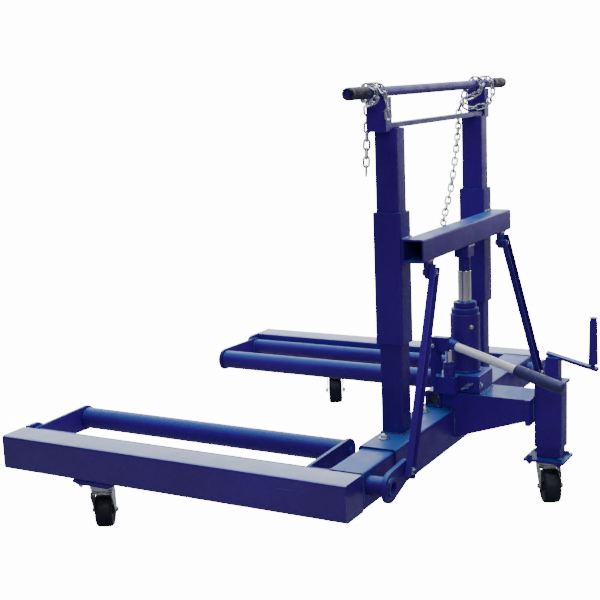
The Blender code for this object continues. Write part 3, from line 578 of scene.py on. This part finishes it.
# Push bar and pump grips, pump lever


def make_grips():
    """Push bar grips, and the pump's handle, socket, pivot nuts and second fulcrum plate."""
    for side, sign in SIDES.items():
        profile = [(0.0139, 0), (0.0139, 0.0995), (0.009, 0.1040), (0.0135, 0.1060), (0.0158, 0.1035),
                   (0.0165, 0.098)]
        for k in range(8):
            middle = 0.086 - 0.0085 * k
            profile += [(0.0165, middle + 0.0024), (0.0159, middle + 0.0012), (0.0159, middle - 0.0008),
                        (0.0165, middle - 0.0020)]
        profile += [(0.0165, 0.012), (0.0164, 0.004), (0.0155, 0.0)]
        piece = Piece()
        piece.lathe(profile, at(sign * PUSH_GRIP_START_X, PUSH_BAR_Y, PUSH_BAR_Z), sign * X, 32)
        piece.made(f"push_bar_hand_grip_{side}", "root", MATERIALS["black_rubber"], "black_rubber",
                   (f"push_bar_grip_{side}",))
    start = at(*PUMP_HANDLE_START)
    along = at(*PUMP_HANDLE_END) - start
    end = along.length
    along.normalize()
    tube = Piece()
    tube.lathe([(0.0118, -0.020), (0.0125, -0.018), (0.0125, PUMP_TUBE_LENGTH - 0.002),
                (0.0110, PUMP_TUBE_LENGTH - 0.001)], start, along, 32)
    tube.made("pump_handle_tube", "pump_lever", MATERIALS["white_enamel"], "white_enamel",
              ("pump_handle",))
    grip = Piece()
    profile = [(0.0135, PUMP_TUBE_LENGTH - 0.003), (0.0165, PUMP_TUBE_LENGTH - 0.0015),
               (0.0175, PUMP_TUBE_LENGTH + 0.003), (0.0175, end - 0.013), (0.0172, end - 0.007),
               (0.0155, end - 0.0025), (0.0115, end - 0.0005), (0.0003, end)]
    grip.lathe(profile, start, along, 36)
    grip.made("pump_handle_hand_grip", "pump_lever",
              rubber("pump_grip_rubber", (0.030, 0.026, 0.13), 0.5), "black_rubber",
              ("pump_handle_grip",))
    block = Piece()
    block.prism(rounded(0.026, 0.054, 0.004), at(PUMP_X, -0.025, 0.462), X, Y, -0.019, 0.0195, 0.0015)
    block.lathe([(0.0150, -0.024), (0.0160, -0.022), (0.0160, 0.018), (0.0150, 0.020), (0.0127, 0.020),
                 (0.0127, -0.024)], start, along, 32, wrap=True)
    pivot = at(PUMP_X, PUMP_PIVOT_Y, PUMP_PIVOT_Z)
    block.lathe([(0.0048, 0.012), (0.0048, 0.0245), (0.004, 0.0255)], pivot, X, 16)
    block.made("pump_lever_socket", "pump_lever", MATERIALS["blue_paint"], "blue_paint",
               ("pump_lever",))
    pins = Piece()
    pins.bolt(pivot + X * 0.0237, X, 0.009, 0.002, 0.0062)
    pins.bolt(pivot - X * 0.0235, -X, 0.009, 0.003, 0.0068)
    pins.made("pump_pivot_nuts", "root", MATERIALS["zinc_steel"], "zinc_steel")
    twin = Piece()
    outline = [(0.0082 * math.cos(a), 0.0082 * math.sin(a)) for a in
               (math.radians(180 + 20 * k) for k in range(10))]
    outline += [(0.008 * math.cos(a), 0.113 + 0.008 * math.sin(a)) for a in
                (math.radians(20 * k) for k in range(10))]
    twin.prism(outline, at(PUMP_X - 0.0210, PUMP_PIVOT_Y, 0.345), Y, Z, -0.0025, 0.0025, 0.0006)
    twin.made("pump_fulcrum_link_twin", "root", MATERIALS["blue_paint"], "blue_paint")


make_grips()


# Jack


def make_jack():
    body = Piece()
    profile = [(0.0463, 0.3665), (0.0463, 0.3705), (0.0442, 0.3730), (0.0438, 0.3760), (0.0438, 0.5315),
               (0.0440, 0.5330), (0.0440, 0.5375), (0.0428, 0.5398), (0.0402, 0.5402), (0.0396, 0.5425),
               (0.0410, 0.5450), (0.0410, 0.5530), (0.0400, 0.5558), (0.0345, 0.5565), (0.0330, 0.5590),
               (0.0345, 0.5615), (0.0345, 0.5720), (0.0330, 0.5750), (0.0275, 0.5760), (0.0262, 0.5740),
               (0.0225, 0.5745), (0.0205, 0.5730), (0.0203, 0.3855), (0.0002, 0.3855), (0.0002, 0.3665)]
    body.lathe(profile, at(0, JACK_Y, 0), Z, 48)
    body.made("jack_cylinder_body", "root", MATERIALS["blue_paint"], "blue_paint", ("jack_cylinder",))
    ram = Piece()
    ram.lathe([(0.0002, 0.4450), (0.0185, 0.4450), (0.0195, 0.4460), (0.0195, 0.6668), (0.0188, 0.6675),
               (0.0002, 0.6675)], at(0, JACK_Y, 0), Z, 48)
    ram.made("jack_ram_rod", "carriage", MATERIALS["chrome"], "chrome", ("jack_ram",))
    head = Piece()
    head.lathe([(0.0002, 0.6677), (0.0170, 0.6677), (0.0180, 0.6690), (0.0180, 0.7060), (0.0172, 0.7072),
                (0.0002, 0.7072)], at(0, JACK_Y, 0), Z, 44)
    head.made("jack_ram_head", "carriage", MATERIALS["blue_paint"], "blue_paint")
    trim = Piece()
    trim.bolt(at(0.030, 0.0495, 0.505), Vector((0.7, 0.71, 0)), 0.009, 0.004, 0.007)
    trim.bolt(at(0.052, 0.083, 0.338), Y, 0.013, 0.005, 0.009)
    trim.made("jack_plugs", "root", MATERIALS["zinc_steel"], "zinc_steel")
    collar = Piece()
    collar.lathe([(0.0107, 0.3656), (0.0107, 0.4080), (0.0150, 0.4085), (0.0158, 0.4070), (0.0158, 0.3990),
                  (0.0168, 0.3980), (0.0170, 0.3656)], at(PUMP_X, PUMP_PISTON_Y, 0), Z, 28, wrap=True)
    collar.made("pump_cylinder_body", "root", MATERIALS["blue_paint"], "blue_paint")


make_jack()


# Crank grip


def make_crank_grip():
    grip = Piece()
    profile = [(0.0064, 0.4165), (0.0064, 0.5405), (0.0100, 0.5415), (0.0108, 0.5390), (0.0122, 0.470),
               (0.0134, 0.4200), (0.0130, 0.4165)]
    grip.lathe(profile, at(0, CRANK_GRIP_Y, 0), Z, 28, wrap=True)
    grip.made("crank_hand_grip", "crank_grip", MATERIALS["blue_paint"], "blue_paint", ("crank_grip",))
    knob = Piece()
    knob.lathe([(0.0055, 0.5420), (0.0055, 0.5445), (0.0112, 0.5490), (0.0118, 0.5505), (0.0105, 0.5510)],
               at(0, CRANK_GRIP_Y, 0), Z, 24)
    knob.made("crank_end_cap", "crank", MATERIALS["blue_paint"], "blue_paint")


make_crank_grip()


# Casters


def make_caster(name, x, y, top, race_bottom, yaw, fixed_body, plate_low):
    """Fork, wheel and plate bolts; a front caster, fixed to the chassis, also gets its top plate."""
    centre = at(x, y, 0)
    ahead = Vector((math.cos(yaw), math.sin(yaw), 0))
    across = Vector((-math.sin(yaw), math.cos(yaw), 0))
    axle = centre + ahead * CASTER_TRAIL + Z * WHEEL_RADIUS
    fork = Piece()
    fork.lathe([(0.012, top), (0.0335, top), (0.0350, top - 0.0020), (0.0350, race_bottom + 0.0085),
                (0.0335, race_bottom + 0.0068), (0.0300, race_bottom + 0.0060),
                (0.0300, race_bottom + 0.0045), (0.0325, race_bottom + 0.0035),
                (0.0330, race_bottom + 0.0005), (0.0310, race_bottom - 0.0020),
                (0.012, race_bottom - 0.0020)], centre, Z, 40)
    fork.prism(rounded(0.060, 0.0615, 0.012), centre, ahead, across,
               race_bottom - 0.0045, race_bottom - 0.0005, 0.0008)
    side = [(-0.0290, race_bottom - 0.0015), (-0.0290, race_bottom - 0.0100)]
    side += [(CASTER_TRAIL + 0.0125 * math.cos(math.radians(a)),
              WHEEL_RADIUS + 0.0125 * math.sin(math.radians(a))) for a in range(190, 361, 17)]
    side += [(0.0370, race_bottom - 0.0160), (0.0300, race_bottom - 0.0015)]
    for sign in (-1, 1):
        fork.prism(side, centre + across * sign * CHEEK_OFFSET, ahead, Z, -0.0014, 0.0014, 0.0005)
        fork.bolt(axle + across * sign * (CHEEK_OFFSET + 0.0013), across * sign, 0.012, 0.0045, 0.0085)
    fork.made(f"{name}_fork", f"{name}_swivel", MATERIALS["zinc_steel"], "zinc_steel", (f"{name}_yoke",))
    wheel = Piece()
    half = [(0.0120, 0.0255), (0.0135, 0.0230), (0.0150, 0.0200), (0.0300, 0.0185), (0.0385, 0.0195),
            (0.0410, 0.0230), (0.0435, 0.0242), (0.0462, 0.0230), (0.0483, 0.0195), (0.0495, 0.0140),
            (0.0500, 0.0060)]
    profile = [(0.0063, 0.0255), *half, *[(r, -h) for r, h in reversed(half)], (0.0063, -0.0255)]
    wheel.lathe(profile, axle, across, 48, wrap=True)
    wheel.made(f"{name}_tyre", f"{name}_wheel", MATERIALS["wheel_polymer"], "wheel_polymer",
               (f"{name}_wheel",))
    plate = Piece()
    if fixed_body == "root":
        plate.prism(rounded(0.096, 0.118, 0.008), centre, X, Y, top - 0.0035, plate_low - 0.0002, 0.0008)
        plate.made(f"{name}_top_plate", "root", MATERIALS["blue_paint"], "blue_paint")
    nuts = Piece()
    low = top - 0.0035 if fixed_body == "root" else plate_low
    for bx in (-0.038, 0.038):
        for by in (-0.044, 0.044):
            nuts.bolt(centre + Vector((bx, by, low)), -Z, 0.013, 0.006, 0.010, 0.004)
            if fixed_body != "root":
                nuts.bolt(centre + Vector((bx, by, plate_low + 0.008)), Z, 0.013, 0.0055, 0.010)
    paint = "zinc_steel" if fixed_body == "root" else "blue_paint"
    nuts.made(f"{name}_plate_bolts", fixed_body, MATERIALS[paint], paint)


# The left front caster trails the opposite way from the other two
make_caster("front_caster_left", FORK_X, FRONT_CASTER_Y, 0.1462, 0.117, CASTER_YAW + math.pi, "root",
            0.1465)
make_caster("front_caster_right", -FORK_X, FRONT_CASTER_Y, 0.1462, 0.117, CASTER_YAW, "root", 0.1465)
make_caster("rear_caster", 0, REAR_CASTER_Y, 0.1237, 0.1065, CASTER_YAW, "leg", 0.1240)


# Bolts, nuts and pins


def make_fasteners():
    clamp = Piece()
    for x in (-0.395, -0.115, 0.115, 0.395):
        foot = at(x, -0.067, BOX_TOP_Z + 0.0001)
        clamp.lathe([(0.0148, 0), (0.0150, 0.0006), (0.0150, 0.0022), (0.0138, 0.0030)], foot, Z, 28)
        clamp.hexagon(foot + Z * 0.0027, Z, 0.018, 0.0075)
        clamp.lathe([(0.0072, 0.0095), (0.0068, 0.0115), (0.0045, 0.0130), (0.0002, 0.0135)], foot, Z, 20)
    clamp.made("width_clamp_bolts", "root", MATERIALS["zinc_steel"], "zinc_steel")
    upper = Piece()
    for sign in SIDES.values():
        upper.bolt(at(sign * LINK_TOP_X, 0.0195, LINK_TOP_Z), -Y, 0.017, 0.006, 0.0125)
        upper.bolt(at(sign * LINK_TOP_X, 0.0420, LINK_TOP_Z), Y, 0.017, 0.0065, 0.0120, 0.003)
    upper.made("link_pin_nuts", "carriage", MATERIALS["zinc_steel"], "zinc_steel")
    for side, sign in SIDES.items():
        lower = Piece()
        pin = at(sign * LEVER_PIN_X, 0.0700, LEVER_PIN_Z)
        lower.lathe([(0.0135, 0.0008), (0.0140, 0.0014), (0.0140, 0.0030), (0.0130, 0.0036)], pin, Y, 24)
        lower.hexagon(pin + Y * 0.0034, Y, 0.018, 0.0085)
        lower.lathe([(0.0080, 0), (0.0080, 0.0165), (0.0062, 0.0190), (0.0002, 0.0198)], pin, Y, 20)
        lower.made(f"lever_pin_nut_{side}", f"rocker_{side}", MATERIALS["zinc_steel"], "zinc_steel")
        tips = Piece()
        for y, axis in ((-1.1035, -1), (-0.1675, 1)):
            tips.bolt(at(sign * ROLLER_X, y, ROLLER_Z), axis * Y, 0.024, 0.004, 0.016)
        tips.made(f"roller_axle_nuts_{side}", f"rocker_{side}", MATERIALS["blue_paint"], "blue_paint")


make_fasteners()


# Weld beads


def make_welds():
    root = Piece()
    for sign in SIDES.values():
        post = [at(sign * POST_X + dx, POST_Y + dy, BOX_TOP_Z + 0.0005) for dx, dy in
                ((-0.031, -0.034), (0.031, -0.034), (0.031, 0.034), (-0.031, 0.034))]
        root.bead(post, 0.0034, closed=True)
        for x, z, ends, radius in (
                (POST_OUTER_X + 0.0006, POST_TOP_Z - 0.0075, (-0.0965, -0.0445), 0.0026),
                (POST_OUTER_X + 0.0008, POST_TOP_Z + 0.0008, (-0.0435, -0.0965), 0.0024),
                (TIE_BAR_END_X + 0.0007, POST_TOP_Z + 0.0012, (-0.0765, -0.0475), 0.0028)):
            root.bead([at(sign * x, y, z) for y in ends], radius)
        for x in (0.348, 0.3855):
            saddle = [at(sign * x, PUSH_BAR_Y + 0.0145 * math.cos(math.radians(a)),
                         PUSH_BAR_Z + 0.0145 * math.sin(math.radians(a))) for a in range(215, 326, 11)]
            root.bead(saddle, 0.0026)
        seam = sign * 0.6662
        root.bead([at(seam, -0.096, 0.2548), at(seam, -0.004, 0.2548)], 0.0028)
        root.bead([at(seam, -0.0004, 0.250), at(seam, -0.0004, 0.160)], 0.0028)
        root.bead([at(seam, -0.100, 0.250), at(seam, -0.100, 0.160)], 0.0028)
        root.bead([at(seam, -0.004, 0.1552), at(seam, -0.096, 0.1552)], 0.0028)
        root.bead([at(seam, -1.1042, 0.250), at(seam, -1.1042, 0.160)], 0.0026)
        for y in (-0.8645, -0.7355):
            root.bead([at(sign * 0.672, y, 0.1546), at(sign * 0.760, y, 0.1546)], 0.0026)
        root.bead([at(sign * 0.0655, 0.0068, 0.184), at(sign * 0.0655, 0.0068, 0.259)], 0.0032)
        root.bead([at(sign * 0.0655, -0.033, 0.2616), at(sign * 0.0655, 0.004, 0.2616)], 0.0032)
        root.bead([at(sign * 0.0335, 0.2372, 0.240), at(sign * 0.0335, 0.2372, 0.309)], 0.003)
    root.bead([at(-0.064, -0.0848, 0.2614), at(0.064, -0.0848, 0.2614)], 0.003)
    root.bead([at(-0.062, -0.0458, 0.3118), at(0.062, -0.0458, 0.3118)], 0.003)
    root.bead([at(-0.058, 0.0828, 0.3118), at(0.058, 0.0828, 0.3118)], 0.003)
    root.bead([at(-0.030, 0.2372, 0.3115), at(0.030, 0.2372, 0.3115)], 0.003)
    root.made("chassis_welds", "root", WELD, "blue_paint")
    beam = Piece()
    for sign in SIDES.values():
        beam.bead([at(sign * 0.2795, BEAM_WELD_Y, 0.8062), at(sign * 0.346, BEAM_WELD_Y, 0.8062)], 0.0032)
        beam.bead([at(sign * 0.2795, BEAM_WELD_Y, 0.7418), at(sign * 0.346, BEAM_WELD_Y, 0.7418)], 0.0030)
        beam.bead([at(sign * 0.2775, BEAM_WELD_Y, 0.746), at(sign * 0.2775, BEAM_WELD_Y, 0.802)], 0.0032)
        for y in (0.0232, 0.0360):
            beam.bead([at(sign * LINK_TOP_X + dx, y, 0.7415) for dx in (-0.023, 0.023)], 0.0024)
    beam.bead([at(-0.024, 0.0405, 0.7413), at(0.024, 0.0405, 0.7413)], 0.003)
    beam.bead([at(0.008, -0.0242, 0.8000), at(0.036, -0.0242, 0.8000)], 0.0024)
    beam.made("carriage_welds", "carriage", WELD, "blue_paint")
    for side, sign in SIDES.items():
        rocker = Piece()
        for y in (-1.0932, -0.1786, -0.1672, 0.0497, 0.0623):
            ring = [at(sign * SHAFT_X + 0.0258 * math.cos(math.radians(a)), y,
                       SHAFT_Z + 0.0258 * math.sin(math.radians(a))) for a in range(0, 360, 15)]
            rocker.bead(ring, 0.0022, closed=True)
        rocker.made(f"rocker_welds_{side}", f"rocker_{side}", WELD, "blue_paint")


make_welds()


# Studio

WALL_GLOW = 2.6  # light that the object gets from the upright part of the paper
PAPER_WHITE = 14.0  # what the camera alone sees of the paper and the surround
LAMPS = (  # name, place, target, size, power, tint
    ("overhead", (0.0, 0.0, 3.6), (0, 0, 0), 3.5, 130, (0.78, 0.91, 1.0)),
    ("front_fill", (4.5, 2.6, 3.2), (0, 0, 0.5), 2.0, 55, (1, 0.98, 1.0)),
)


def make_studio():
    """Paper floor that curves up into a backdrop, two soft square lamps and a dim surround."""
    s = Shader("studio_paper", (0.32, 0.32, 0.33), 0.8)
    s.colour(s.mix(s.ramp(s.noise(0.8, 3), 0.3, 0.7), (0.32, 0.32, 0.33), (0.30, 0.30, 0.31)))
    s.shader.inputs["Emission Color"].default_value = (1, 1, 1, 1)
    seen = s.node("ShaderNodeLightPath").outputs["Is Camera Ray"]
    split = s.node("ShaderNodeSeparateXYZ")
    s.link(s.coordinates.outputs["Object"], split.inputs[0])
    glow = s.ramp(split.outputs["Z"], 0.10, 0.80, 0.0, WALL_GLOW)
    white = s.math("MULTIPLY", seen, PAPER_WHITE)
    s.link(s.math("MAXIMUM", white, glow), s.shader.inputs["Emission Strength"])
    away = Vector((-0.8712, -0.4910, 0))
    aside = away.cross(Z)
    section = [(-6.0, 0.0), (3.6, 0.0)]
    section += [(3.6 + 1.6 * math.sin(math.radians(a)), 1.6 - 1.6 * math.cos(math.radians(a)))
                for a in range(9, 91, 9)]
    section += [(5.2, 7.0)]
    mesh = bpy.data.meshes.new("studio_floor")
    points, faces = [], []
    for distance, height in section:
        for width in (-9.0, 9.0):
            points.append(away * distance + aside * width + Z * (height - 0.0002))
    for k in range(len(section) - 1):
        faces.append((2 * k, 2 * k + 1, 2 * k + 3, 2 * k + 2))
    mesh.from_pydata(points, [], faces)
    floor = bpy.data.objects.new("studio_floor", mesh)
    bpy.context.scene.collection.objects.link(floor)
    mesh.materials.append(s.material)
    mesh.shade_smooth()
    for name, place, target, size, power, tint in LAMPS:
        data = bpy.data.lights.new(name, "AREA")
        data.shape = "SQUARE"
        data.size, data.energy, data.color = size, power, tint
        lamp = bpy.data.objects.new(name, data)
        bpy.context.scene.collection.objects.link(lamp)
        lamp.location = place
        direction = Vector(target) - Vector(place)
        lamp.rotation_euler = direction.to_track_quat("-Z", "Y").to_euler()
    world = bpy.data.worlds.new("surround")
    bpy.context.scene.world = world
    world.use_nodes = True
    background = world.node_tree.nodes["Background"]
    background.inputs["Color"].default_value = (0.86, 0.88, 1.0, 1)
    lights = world.node_tree.nodes.new("ShaderNodeLightPath")
    strength = world.node_tree.nodes.new("ShaderNodeMapRange")
    strength.inputs["To Min"].default_value = 0.10
    strength.inputs["To Max"].default_value = PAPER_WHITE
    world.node_tree.links.new(lights.outputs["Is Camera Ray"], strength.inputs["Value"])
    world.node_tree.links.new(strength.outputs[0], background.inputs["Strength"])


make_studio()
